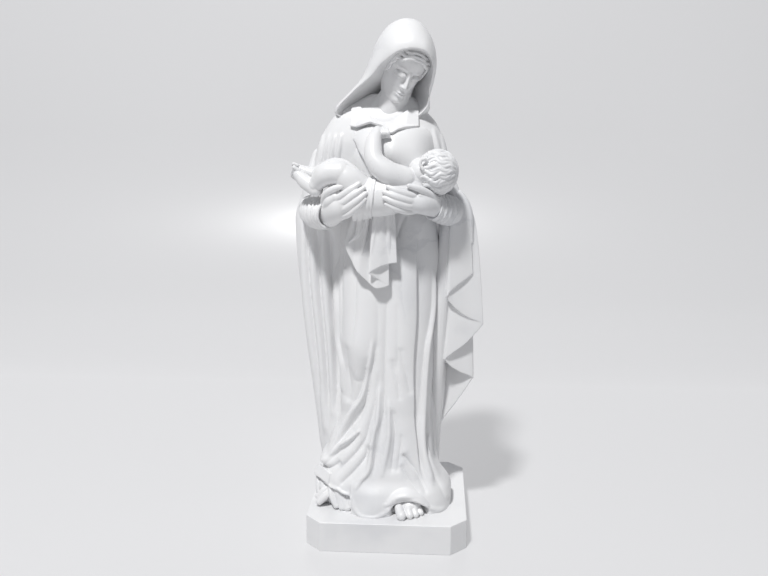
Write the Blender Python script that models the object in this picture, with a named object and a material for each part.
"""A carved white marble statue: a veiled woman in a long gown and cloak stands on a low
plinth with cut corners and holds an infant across her chest. Figure and plinth are one
block of stone, so they are one solid.

The woman is laid out on a sculptor's canon: one part is a hundredth of her height, x runs
to her left (the viewer's right), y runs to her back, z is height above the plinth's top.
"""

import math

import bmesh
import bpy
import numpy as np
from mathutils import Matrix

# Driving sizes, in metres
PLINTH_WIDTH = 0.53
PLINTH_DEPTH = 0.53
PLINTH_HEIGHT = 0.10
PLINTH_CORNER = 0.053
PLINTH_ARRIS = 0.003
FIGURE_HEIGHT = 1.60

# How finely the stone is worked: shares of the figure's height, and triangles
FOOT_SINK = 0.0125
CLAY_GRAIN = 0.0033
FIGURE_TRIANGLES = 9400
SOFTENING = 2

CANON = 100
MARBLE = (0.86, 0.86, 0.87, 1.0)


def smooth_through(knots, values, at):
    """A curve through the values that never overshoots them (monotone cubic)."""
    x = np.asarray(knots, float)
    v = np.asarray(values, float)
    t = np.clip(np.asarray(at, float), x[0], x[-1])
    step = np.diff(x)
    rise = np.diff(v) / step
    slope = np.zeros_like(v)
    for i in range(1, len(v) - 1):
        if rise[i - 1] * rise[i] > 0:
            w = step[i - 1] + step[i]
            slope[i] = 3 * w / ((w + step[i]) / rise[i - 1] + (w + step[i - 1]) / rise[i])
    slope[0] = rise[0]
    slope[-1] = rise[-1]
    k = np.clip(np.searchsorted(x, t, side="right") - 1, 0, len(x) - 2)
    s = (t - x[k]) / step[k]
    return (
        v[k] * (1 + 2 * s) * (1 - s) ** 2
        + v[k + 1] * s * s * (3 - 2 * s)
        + slope[k] * step[k] * s * (1 - s) ** 2
        - slope[k + 1] * step[k] * s * s * (1 - s)
    )


def ease(low, high, at):
    """0 below low, 1 above high, and a soft step between."""
    t = np.clip((np.asarray(at, float) - low) / (high - low), 0, 1)
    return t * t * (3 - 2 * t)


def spline(points, count, closed=False):
    """count points on a smooth curve through the given points."""
    p = np.asarray(points, float)
    spans = len(p) if closed else len(p) - 1
    if closed:
        p = np.vstack([p[-1:], p, p[:2]])
    else:
        p = np.vstack([2 * p[0] - p[1], p, 2 * p[-1] - p[-2]])
    u = np.linspace(0, spans, count, endpoint=not closed)
    k = np.minimum(u.astype(int), spans - 1)
    s = (u - k)[:, None]
    a, b, c, d = p[k], p[k + 1], p[k + 2], p[k + 3]
    curve = 2 * b + (c - a) * s + (2 * a - 5 * b + 4 * c - d) * s**2
    return 0.5 * (curve + (3 * b - a - 3 * c + d) * s**3)


def bump(x, z, at, size, high):
    """A soft swelling over an ellipse."""
    return high * np.exp(-(((x - at[0]) / size[0]) ** 2) - ((z - at[1]) / size[1]) ** 2)


class Clay:
    """Gathers closed shapes, in parts of the canon, that are later fused into one mesh."""

    def __init__(self):
        self.points = []
        self.faces = []
        self.count = 0

    def rings(self, rings):
        """A closed shape through rings of equal counts, capped at both ends."""
        grid = np.asarray(rings, float)
        rows, around, _ = grid.shape
        start = self.count
        foot = start + rows * around
        last = foot - around
        self.points.append(grid.reshape(-1, 3))
        self.points.append(np.array([grid[0].mean(0), grid[-1].mean(0)]))
        self.count = foot + 2
        for i in range(around):
            j = (i + 1) % around
            self.faces.append((foot, start + j, start + i))
            self.faces.append((foot + 1, last + i, last + j))
            for low in range(start, last, around):
                self.faces.append((low + i, low + j, low + around + j, low + around + i))

    def limb(self, path, radii, wide=1.0, towards=(0, -1, 0), around=14, along=20):
        """A round-ended tube along a path; wide widens it square to the given direction."""
        line = spline(path, along)
        share = np.linspace(0, 1, along)
        size = smooth_through(np.linspace(0, 1, len(radii)), radii, share)
        tangent = np.gradient(line, axis=0)
        tangent /= np.linalg.norm(tangent, axis=1)[:, None]
        side = np.cross(tangent, np.asarray(towards, float))
        side /= np.maximum(np.linalg.norm(side, axis=1), 1e-6)[:, None]
        face = np.cross(tangent, side)
        angle = np.linspace(0, 2 * math.pi, around, endpoint=False)[:, None]
        rings = []

        def ring(k, out, grow):
            across = wide * np.cos(angle) * side[k] + np.sin(angle) * face[k]
            rings.append(line[k] + tangent[k] * out * size[k] + across * grow * size[k])

        for a in (1.3, 0.95, 0.6, 0.3):
            ring(0, -math.sin(a), math.cos(a))
        for k in range(along):
            ring(k, 0, 1)
        for a in (0.3, 0.6, 0.95, 1.3):
            ring(-1, math.sin(a), math.cos(a))
        self.rings(rings)

    def ball(self, centre, radii, turn=(0, 0, 0), around=24, along=16):
        """An ellipsoid, turned by angles in degrees about x, y and z."""
        spin = Matrix.Rotation(math.radians(turn[2]), 3, "Z")
        spin = spin @ Matrix.Rotation(math.radians(turn[1]), 3, "Y")
        spin = np.array(spin @ Matrix.Rotation(math.radians(turn[0]), 3, "X"))
        b = np.linspace(0, 2 * math.pi, around, endpoint=False)
        rings = []
        for a in np.linspace(-math.pi / 2, math.pi / 2, along + 2)[1:-1]:
            level = np.full(around, math.sin(a))
            ring = np.stack([math.cos(a) * np.cos(b), math.cos(a) * np.sin(b), level], 1)
            rings.append((ring * radii) @ spin.T + centre)
        self.rings(rings)

    def pleats(self, tops, feet, thick, across=64, down=24):
        """Cloth folded to and fro between a row of top points and a row of foot points."""
        top = spline(tops, across)
        foot = spline(feet, across)
        t = np.linspace(0, 1, down)[None, :, None]
        sheet = top[:, None] * (1 - t) + foot[:, None] * t
        normal = np.cross(np.gradient(sheet, axis=0), np.gradient(sheet, axis=1))
        normal /= np.maximum(np.linalg.norm(normal, axis=2), 1e-6)[:, :, None]
        near = sheet + normal * thick / 2
        far = sheet - normal * thick / 2
        self.rings(np.concatenate([near, far[:, ::-1]], axis=1))


class Column:
    """Upright drapery whose sides, front and back are curves of the height."""

    def __init__(self, at, left, right, front, back, middle, square):
        self.at = at
        self.curves = (left, right, front, back, middle)
        self.square = square

    def section(self, z):
        return [smooth_through(self.at, values, z) for values in self.curves]

    def build(self, clay, relief, around, along):
        z = np.linspace(self.at[0], self.at[-1], along)[:, None]
        left, right, front, back, middle = self.section(z)
        phi = np.linspace(-math.pi, math.pi, around, endpoint=False)[None, :]
        sine, cosine = np.sin(phi), np.cos(phi)
        half = (right - left) / 2
        deep = np.where(cosine > 0, middle - front, back - middle)
        x = (left + right) / 2 + half * np.sign(sine) * np.abs(sine) ** (2 / self.square)
        y = middle - deep * np.sign(cosine) * np.abs(cosine) ** (2 / self.square)
        out_x, out_y = sine / half, -cosine / deep
        size = np.hypot(out_x, out_y)
        z = np.broadcast_to(z, x.shape)
        high = relief(phi, x, z)
        clay.rings(np.stack([x + high * out_x / size, y + high * out_y / size, z], 2))

    def front_at(self, x, z):
        """Depth of the plain front surface at a place seen from the front."""
        left, right, front, _, middle = self.section(z)
        share = np.clip(np.abs(x - (left + right) / 2) * 2 / (right - left), 0, 0.995)
        share = np.sqrt(1 - share**self.square) ** (2 / self.square)
        return middle - (middle - front) * share

    def ridges(self, clay, table, sink=0.35, along=32):
        """Rounded folds laid along paths of (x, z) on the front, each with its radii."""
        for path, radii in table:
            line = spline(path, 16)
            deep = self.front_at(line[:, 0], line[:, 1])
            size = smooth_through(np.linspace(0, 1, len(radii)), radii, np.linspace(0, 1, 16))
            line = np.stack([line[:, 0], deep + size * sink, line[:, 1]], 1)
            clay.limb(line, radii, around=12, along=along)


GOWN = Column(
    at=(-1.2, 2, 6, 12, 20, 30, 42, 52, 60, 66, 72, 77, 81, 84),
    left=(-11.4, -12.6, -13.4, -12.2, -10.0, -10.6, -11.3, -10.8, -10.2, -9.8, -9.4, -8.8, -6.4, -3),
    right=(13.2, 12.9, 11.8, 10.4, 9.2, 9.4, 9.8, 9.7, 9.3, 9.2, 9.3, 9.0, 7.0, 4.4),
    front=(-11.8, -11.6, -11.0, -10.2, -9.2, -8.9, -8.9, -8.8, -8.4, -8, -7.9, -7.6, -6.4, -4.6),
    back=(9, 9, 8, 7, 7, 7, 7, 7, 7, 7, 7, 6, 5, 4),
    middle=(-1, -1, -1, -1, -1, -1, -1, -1, -1, -1, 0, 0, 0, 0),
    square=2.3,
)

CLOAK = Column(
    at=(-1.2, 5, 11, 20, 31, 42.5, 53.5, 60, 65, 71.3, 75.3, 80, 82, 84, 85.5),
    left=(
        -15.2, -15.4, -15.6, -16.2, -17.4, -18.8, -19.7, -19.9, -18.6, -15.8, -14.8, -12.3, -10.4, -7,
        -4,
    ),
    right=(11.6, 11.0, 10.9, 11.4, 11.9, 12.3, 13.0, 13.8, 13.6, 12.1, 11.2, 9.2, 7.4, 5.6, 4),
    front=(-4, -3.6, -3.2, -3.0, -3.2, -3.6, -4.0, -4.4, -5.0, -6.0, -6.2, -5.2, -4.4, -3, -2),
    back=(15, 14, 12.5, 11, 10, 9.3, 9.0, 9.0, 9.0, 8.8, 8.2, 6.8, 5.8, 4.8, 4),
    middle=(4, 3.5, 3, 2, 1, 0.5, 0, 0, 0, 0, 0, 0, 0, 0, 0),
    square=2.4,
)

# The gown's folds: a path of (x, z) seen from the front, then the radii along it
GOWN_FOLDS = (
    (((-3.0, 31), (-5.0, 25.2), (-7.8, 19.5), (-10.6, 14.6), (-13.2, 10.4)), (0.5, 1.1, 1.4, 1.5, 1.3)),
    (((-2.8, 24), (-5.2, 17.6), (-8.7, 12.9), (-12.8, 9.0)), (0.4, 1.1, 1.4, 1.3)),
    (((-2.6, 33), (-3.6, 24.5), (-4.7, 15.4), (-7.5, 9.4), (-11.6, 6.0)), (0.5, 0.9, 1.3, 1.6, 1.4)),
    (((-0.8, 34), (-1.1, 25.3), (-2.9, 17.1), (-4.3, 9.4), (-7.2, 3.0)), (0.5, 1.0, 1.3, 1.5, 1.5)),
    (((0.8, 44), (0.7, 27), (0.3, 16), (-0.9, 8.0), (-2.8, 1.5)), (0.5, 0.9, 1.1, 1.4, 1.6)),
    (((2.6, 42), (2.6, 25.4), (2.4, 16.1), (2.0, 7.4)), (0.4, 0.9, 1.2, 1.2)),
    (((3.4, 14), (5.0, 10.0), (7.6, 6.4)), (0.5, 1.1, 1.0)),
    (((5.2, 57), (5.4, 36), (5.9, 21.9), (6.8, 13.0), (9.2, 3.8)), (0.5, 0.8, 0.9, 1.2, 1.5)),
    (((7.9, 40), (7.7, 25.5), (8.7, 15.6), (10.6, 8.4), (11.8, 2.0)), (0.4, 0.8, 1.0, 1.2, 1.4)),
    (((9.0, 57), (9.1, 36), (8.4, 22), (9.4, 11)), (0.5, 0.7, 0.8, 0.7)),
    (((-9.6, 57), (-10.0, 44), (-9.4, 31), (-9.0, 20)), (0.5, 0.7, 0.8, 0.5)),
    (((-7.4, 58), (-8.0, 48), (-7.6, 38)), (0.4, 0.5, 0.3)),
    (((-3.5, 46), (-3.4, 38), (-3.0, 30)), (0.3, 0.5, 0.4)),
)

# The gown's rolled border, which lifts over the toes
HEM = (
    (-12.8, 5.6), (-11.2, 4.0), (-9.2, 2.6), (-7.6, 1.2), (-3.4, 0.5), (0.2, 1.0),
    (3.0, 3.1), (5.4, 3.7), (7.8, 2.2), (10.2, 0.8), (12.4, 0.4),
)

CLOAK_FOLDS = (
    (((-17.0, 58), (-16.8, 44), (-15.9, 28), (-15.0, 8)), (0.6, 0.9, 1.0, 0.8)),
    (((-14.6, 58), (-14.4, 44), (-13.8, 30), (-12.9, 14)), (0.7, 1.1, 1.0, 0.7)),
    (((-12.0, 58), (-11.9, 44), (-11.4, 30), (-11.0, 18)), (0.6, 0.9, 0.9, 0.7)),
    (((10.9, 58), (10.9, 44), (10.6, 30), (10.4, 16)), (0.5, 0.8, 0.8, 0.6)),
    (((-13.4, 77), (-14.2, 72), (-14.9, 67)), (0.4, 0.8, 0.9)),
    (((-11.0, 77.5), (-12.0, 72.5), (-12.6, 67)), (0.4, 0.8, 0.9)),
    (((-9.2, 77), (-9.7, 73), (-9.6, 69)), (0.5, 0.8, 0.8)),
    (((8.9, 78.5), (10.0, 74), (10.8, 68)), (0.4, 0.7, 0.9)),
)

# The back of the veil, from its lower border up to the crown
VEIL = Column(
    at=(66.5, 68, 72, 78, 82, 85.8, 89.3, 92),
    left=(-12.6, -12.9, -12.9, -12.4, -10.4, -8.0, -5.4, -3.4),
    right=(10.4, 10.6, 10.2, 8.4, 6.2, 6.5, 7.6, 7.4),
    front=(2.0, 2.0, 1.5, 1, 1, 1, 1, 1),
    back=(10.0, 10.2, 9.9, 8.8, 7.8, 7.3, 6.8, 5.4),
    middle=(3, 3, 2.5, 2, 2, 2, 2, 2),
    square=2.3,
)


def gown(clay, around, along):
    def relief(phi, x, z):
        ahead = np.cos(phi) > 0
        total = ahead * bump(x, z, (-6.4, 31), (2.8, 7.5), 1.5)
        total += ahead * bump(x, z, (-6.4, 46), (4.0, 12), 1.0)
        total += ahead * bump(x, z, (6.0, 44), (3.4, 15), 0.9)
        total += ahead * bump(x, z, (4.9, 73.8), (3.3, 3.6), 1.8)
        total += ahead * bump(x, z, (-5.0, 73.8), (3.0, 3.6), 1.2)
        return total - ahead * bump(x, z, (0.2, 76), (1.4, 5), 0.5)

    GOWN.build(clay, relief, around, along)
    GOWN.ridges(clay, GOWN_FOLDS, 0.45)
    GOWN.ridges(clay, ((HEM, (0.8, 1.0, 1.2, 1.1, 1.1, 1.1, 1.1, 1.0, 0.9)),), 0.3, 60)


def cloak(clay, around, along):
    def relief(phi, x, z):
        behind = ease(1.75, 2.2, np.abs(phi))
        wave = np.cos(10 * phi + 0.022 * (z - 40) * np.sign(phi))
        hang = wave * (0.25 + 0.011 * (66 - z)) * (1 - ease(50, 68, z))
        return behind * hang

    CLOAK.build(clay, relief, around, along)
    CLOAK.ridges(clay, CLOAK_FOLDS)


def veil(clay, around, along):
    def relief(phi, x, z):
        return ease(1.7, 2.4, np.abs(phi)) * 0.5 * np.cos(7 * phi) * (1 - ease(70, 84, z))

    VEIL.build(clay, relief, around, along)


def hood(clay, around, along):
    """The veil over the head: it grows from its back to its rim, then turns in behind the face."""
    outer = (
        (3.9, 100), (7.3, 97.9), (8.8, 94.6), (9.2, 91.0), (8.4, 87.6), (7.2, 84.0), (6.2, 80.5),
        (-2.0, 76.0), (-11.4, 78.0), (-10.8, 82.2), (-8.3, 85.9), (-5.8, 89.6), (-3.5, 94.0),
        (-0.9, 97.9),
    )
    rim = (
        (5.0, 93.4), (7.4, 92.9), (8.5, 91.2), (8.6, 89.2), (7.9, 86.6), (6.8, 83.6), (5.8, 80.0),
        (-1.5, 75.5), (-10.4, 77.6), (-9.6, 82.2), (-6.8, 84.8), (-4.1, 87.0), (-1.6, 89.4),
        (1.4, 92.2),
    )
    rim_depth = (-9.2, -8.6, -7.4, -6.4, -5.8, -5.6, -5.4, -4.4, -3.6, -4.6, -5.8, -6.6, -7.6, -8.8)
    wide = spline([(x, 0.5, z) for x, z in outer], around, closed=True)
    edge = spline([(x, y, z) for (x, z), y in zip(rim, rim_depth)], around, closed=True)
    heart = np.array([3.0, 0, 88.0])
    rings = []
    for t in np.linspace(0.04, 1, along):
        swell = math.sin(t * math.pi / 2) ** 0.8
        ring = heart + (wide - heart) * [swell, 0, swell]
        ring[:, 1] = 0.5 + 7.4 * math.cos(t * math.pi / 2)
        rings.append(ring)
    for t in np.linspace(0, math.pi / 2, along)[1:]:
        inward = 1 - math.cos(t)
        rings.append(wide + (edge - wide) * [inward, math.sin(t), inward])
    for t in np.linspace(0, 1, along)[1:]:
        shrink = 1 - 0.7 * t**1.6
        ring = heart + (edge - heart) * [shrink, 0, shrink]
        ring[:, 1] = edge[:, 1] * (1 - t) + 1.5 * t
        rings.append(ring)
    clay.rings(rings)


def head(clay):
    clay.limb([(-0.8, 0.5, 78), (0.4, -1.2, 82), (2.4, -2.0, 86)], (3.8, 2.9, 2.8))
    clay.ball((3.4, -1.4, 90.4), (4.1, 4.9, 4.6), (14, -16, 25))
    clay.limb([(3.2, -3.6, 89.6), (4.3, -4.6, 86.8), (4.9, -5.4, 84.9)], (3.6, 2.8, 1.6))
    clay.limb([(4.9, -6.6, 89.4), (5.5, -7.3, 87.9)], (0.5, 0.75), along=5, around=8)
    clay.limb([(-0.4, -3.0, 91.0), (-0.9, -2.4, 88.4), (-0.8, -0.6, 85.4)], (1.0, 1.2, 1.0))
    clay.limb([(3.0, -5.4, 93.4), (6.6, -4.9, 92.2), (7.9, -3.8, 89.2)], (0.8, 1.0, 1.0))


COLLAR = (
    (
        (-5.2, -6.6, 82.3), (-7.9, -6.2, 81.9), (-7.6, -7.6, 79.2), (-3.8, -8.2, 79.7),
        (-1.2, -7.9, 79.4), (-2.6, -7.4, 81.0),
    ),
    (
        (-1.0, -7.6, 80.6), (-1.4, -8.2, 78.9), (0.2, -8.4, 77.9), (3.2, -8.2, 78.6),
        (6.2, -7.0, 79.2), (6.2, -5.6, 81.6), (3.4, -6.0, 81.8), (1.6, -7.0, 80.9),
    ),
)


def collar(clay):
    """Two flat lapels laid on the chest, each a thin plate with eased edges."""
    for corners in COLLAR:
        shape = np.array(corners)
        middle = shape.mean(0)
        plate = ((0.02, 2.0), (0.9, 2.0), (1.0, 1.6), (1.0, -0.2), (0.9, -0.45), (0.02, -0.45))
        clay.rings([middle + (shape - middle) * size + [0, deep, 0] for size, deep in plate])


def sleeves(clay):
    clay.limb([(-13.6, 3, 61.8), (-15.2, -3.0, 62.0), (-14.0, -8.2, 62.2)], (3.4, 3.6, 3.3))
    clay.limb([(-14.2, -7.6, 62.1), (-13.4, -9.2, 62.2)], (3.8, 3.7), along=4)
    clay.limb([(11.0, 3, 61.8), (12.8, -3.0, 62.2), (11.4, -7.6, 63.0)], (3.2, 3.4, 3.1))
    clay.limb([(11.4, -7.6, 63.0), (10.4, -8.8, 63.2)], (3.1, 2.9), along=4)
    clay.limb([(-14.6, 1, 73), (-16.6, -2.2, 67), (-17.4, -4.0, 60)], (1.8, 1.8, 1.2))
    clay.limb([(10.2, -1, 72), (12.3, -2.6, 67.0), (15.2, -2.2, 60)], (1.8, 1.6, 1.6))


def hands(clay):
    clay.limb([(-12.8, -10.0, 62.2), (-10.4, -13.2, 63.3), (-8.6, -14.4, 64.0)], (2.1, 2.4, 2.1))
    for path in (
        ((-9.4, -14.5, 65.4), (-7.2, -15.3, 67.0), (-5.0, -15.3, 68.2)),
        ((-8.8, -14.9, 64.4), (-6.4, -15.8, 66.3), (-4.2, -15.6, 67.7)),
        ((-8.2, -14.9, 63.3), (-6.0, -15.8, 65.1), (-3.9, -15.6, 66.5)),
        ((-7.8, -14.6, 62.2), (-5.7, -15.4, 63.8), (-3.9, -15.4, 65.2)),
        ((-12.6, -12.0, 64.4), (-11.0, -13.9, 66.7), (-8.4, -14.4, 68.0)),
    ):
        clay.limb(path, (0.95, 0.78, 0.6), along=8, around=8)
    clay.limb([(11.0, -9.6, 63.3), (7.8, -13.0, 64.1), (5.4, -14.3, 64.4)], (2.0, 2.2, 2.0))
    for path in (
        ((5.8, -14.0, 66.0), (3.0, -15.2, 66.9), (0.5, -15.4, 67.7)),
        ((5.0, -14.6, 65.0), (2.2, -15.9, 65.9), (-0.3, -15.8, 66.8)),
        ((4.5, -14.7, 63.9), (2.0, -15.9, 64.7), (-0.3, -15.8, 65.7)),
        ((4.2, -14.4, 62.8), (2.0, -15.5, 63.4), (0.0, -15.4, 64.4)),
        ((8.8, -12.4, 65.6), (6.8, -13.8, 67.0), (4.4, -14.5, 67.9)),
    ):
        clay.limb(path, (0.95, 0.78, 0.6), along=8, around=8)


def child(clay):
    clay.ball((10.0, -10.4, 70.4), (4.1, 4.3, 4.6), (0, 25, 0))
    clay.limb([(8.0, -10.6, 69.5), (4.0, -11.2, 68.3)], (2.4, 2.6))
    clay.limb([(4.4, -11.0, 66.6), (-1, -11.6, 65.6), (-6, -11.2, 65.2)], (3.4, 3.9, 3.7), around=20)
    clay.limb([(-1.9, -11.7, 65.4), (-5.6, -11.5, 65.0)], (4.25, 4.2), around=20)
    arm = ((3.4, -12.2, 69.0), (0.3, -13.4, 70.2), (-2.2, -13.2, 72.6), (-2.5, -11.6, 75.8))
    clay.limb(arm + ((-1.9, -9.8, 78.0),), (2.4, 2.3, 1.8, 1.5, 1.1), along=24)
    clay.ball((-0.9, -9.2, 77.6), (1.4, 1.2, 1.3))
    clay.limb([(-4.5, -11.4, 66.0), (-7.0, -12.8, 68.6), (-9.0, -13.2, 70.6)], (3.0, 2.7, 2.2))
    clay.limb([(-9.0, -13.2, 70.4), (-11.6, -13.0, 69.8), (-13.6, -12.4, 67.6)], (2.3, 2.3, 1.5))
    clay.limb([(-13.7, -12.3, 66.0), (-16.6, -11.4, 68.6), (-18.2, -11.0, 70.3)], (1.5, 1.3, 0.7))
    clay.limb([(-5, -9, 67), (-9.5, -9.6, 71.0), (-14.0, -9.2, 70)], (2.4, 2.1, 1.4))
    clay.limb([(-14.4, -9.2, 69.8), (-16.8, -9.0, 70.6), (-18.6, -8.8, 71.5)], (1.3, 1.3, 0.6))


def cascade(clay):
    """The cloak's free edge, folded to and fro below her left forearm."""
    tops = (
        (16.4, -3.8, 66), (12.6, -4.6, 64), (15.8, -2.4, 63), (12.6, -2.8, 62),
        (15.0, -0.6, 61), (12.0, -0.4, 60), (10.8, 2.5, 60), (10.0, 6.0, 60),
    )
    feet = (
        (17.2, -3.2, 49.0), (12.3, -4.8, 44.4), (19.5, -2.4, 38.8), (11.9, -2.9, 30.6),
        (17.6, -0.6, 26.2), (14.4, 0.2, 20.4), (11.4, 2.5, 13.0), (10.4, 6.0, 4.0),
    )
    clay.pleats(tops, feet, 1.1)
    clay.limb([(11.6, 0.6, 62), (11.6, 0.6, 40), (10.8, 1.5, 16)], (2.6, 2.6, 1.6), along=12)
    clay.limb([(15.0, -2.6, 65), (15.6, -2.4, 56), (15.4, -2.2, 48)], (1.9, 1.5, 0.8), along=12)


def swaddle_tail(clay):
    """The loose end of the child's wrap, hanging in front of the gown."""
    tops = (
        (2.0, -11.0, 62), (-2.8, -11.6, 62), (0.2, -10.5, 62), (-2.2, -10.4, 62), (-4.6, -10.6, 62),
        (-6.4, -10.4, 62),
    )
    feet = (
        (2.1, -11.2, 52.8), (-3.4, -11.8, 50.8), (0.4, -10.8, 48.0), (-2.0, -10.6, 47.5),
        (-5.6, -10.6, 50.2), (-8.3, -10.2, 55.8),
    )
    clay.pleats(tops, feet, 0.9, across=48, down=12)


def heaps(clay):
    """Cloth over the toes, and the border heaped beside her other foot."""
    clay.limb([(5.0, -6.5, 2.6), (5.3, -9.4, 2.2)], (3.4, 2.4))
    clay.limb([(-12.0, -5.6, 2.4), (-10.0, -8.4, 1.4), (-8.2, -9.8, 0.5)], (1.8, 1.8, 1.3))
    clay.limb([(-15.6, -2.8, 6.2), (-14.2, -5.0, 5.4), (-12.6, -6.8, 4.2)], (0.9, 1.1, 0.9))
    clay.limb([(-14.6, -2.4, 4.8), (-13.4, -5.2, 2.8), (-12.6, -6.4, 1.0)], (1.2, 1.3, 1.2))


def feet(clay):
    clay.limb([(5.6, -5, 1.6), (5.2, -10.5, 1.5), (5.2, -12.2, 1.1)], (1.9, 1.7, 1.2), wide=1.5)
    for path, size in (
        (((3.8, -11.6, 1.1), (3.7, -14.2, 0.7)), 0.95),
        (((5.0, -11.8, 1.0), (5.3, -13.6, 0.6)), 0.75),
        (((6.1, -11.5, 1.0), (6.5, -12.9, 0.6)), 0.68),
        (((6.9, -11.0, 0.9), (7.4, -12.1, 0.5)), 0.6),
        (((7.5, -10.3, 0.8), (8.0, -11.1, 0.5)), 0.55),
    ):
        clay.limb(path, (size, size), along=6, around=8)
    clay.limb([(-11.5, -4.0, 1.8), (-13.6, -6.6, 1.4), (-14.9, -8.2, 0.7)], (1.9, 1.4, 0.85))


def sculpt():
    clay = Clay()
    gown(clay, 160, 90)
    cloak(clay, 140, 80)
    veil(clay, 90, 30)
    hood(clay, 64, 10)
    for form in (head, collar, sleeves, hands, child, cascade, swaddle_tail, heaps, feet):
        form(clay)
    return clay


def link(name, mesh):
    made = bpy.data.objects.new(name, mesh)
    bpy.context.scene.collection.objects.link(made)
    return made


def plinth():
    """A low block with cut vertical corners and slightly eased edges."""
    x, y, c = PLINTH_WIDTH / 2, PLINTH_DEPTH / 2, PLINTH_CORNER
    plan = (
        (-x + c, -y), (x - c, -y), (x, -y + c), (x, y - c),
        (x - c, y), (-x + c, y), (-x, y - c), (-x, -y + c),
    )
    form = bmesh.new()
    base = form.faces.new([form.verts.new((a, b, 0)) for a, b in plan])
    grown = bmesh.ops.extrude_face_region(form, geom=[base])
    for item in grown["geom"]:
        if isinstance(item, bmesh.types.BMVert):
            item.co.z = PLINTH_HEIGHT
    bmesh.ops.recalc_face_normals(form, faces=form.faces)
    mesh = bpy.data.meshes.new("plinth")
    form.to_mesh(mesh)
    form.free()
    block = link("madonna_and_child", mesh)
    eased = block.modifiers.new("eased edges", "BEVEL")
    eased.width = PLINTH_ARRIS
    eased.segments = 1
    return block


def figure():
    clay = sculpt()
    part = FIGURE_HEIGHT / CANON
    points = np.vstack(clay.points) * part + [0, 0, PLINTH_HEIGHT]
    points[:, 2] = np.maximum(points[:, 2], PLINTH_HEIGHT - FOOT_SINK * FIGURE_HEIGHT)
    mesh = bpy.data.meshes.new("figure")
    mesh.from_pydata(points.tolist(), [], clay.faces)
    mesh.update()
    woman = link("figure", mesh)
    fuse = woman.modifiers.new("fuse", "REMESH")
    fuse.mode = "VOXEL"
    fuse.voxel_size = CLAY_GRAIN * FIGURE_HEIGHT
    soft = woman.modifiers.new("soften", "SMOOTH")
    soft.iterations = int(round(SOFTENING))
    thin = woman.modifiers.new("facets", "DECIMATE")
    bpy.context.view_layer.update()
    graph = bpy.context.evaluated_depsgraph_get()
    thin.show_viewport = False
    graph.update()
    fused = woman.evaluated_get(graph)
    thin.ratio = min(1, FIGURE_TRIANGLES / (2 * len(fused.data.polygons)))
    thin.show_viewport = True
    woman.hide_render = True
    woman.display_type = "WIRE"
    return woman


def main():
    for item in list(bpy.data.objects):
        bpy.data.objects.remove(item)
    block = plinth()
    union = block.modifiers.new("one block", "BOOLEAN")
    union.operation = "UNION"
    union.object = figure()
    marble = bpy.data.materials.new("marble")
    marble.use_nodes = True
    stone = marble.node_tree.nodes["Principled BSDF"]
    stone.inputs["Base Color"].default_value = MARBLE
    stone.inputs["Roughness"].default_value = 0.35
    block.data.materials.append(marble)


main()
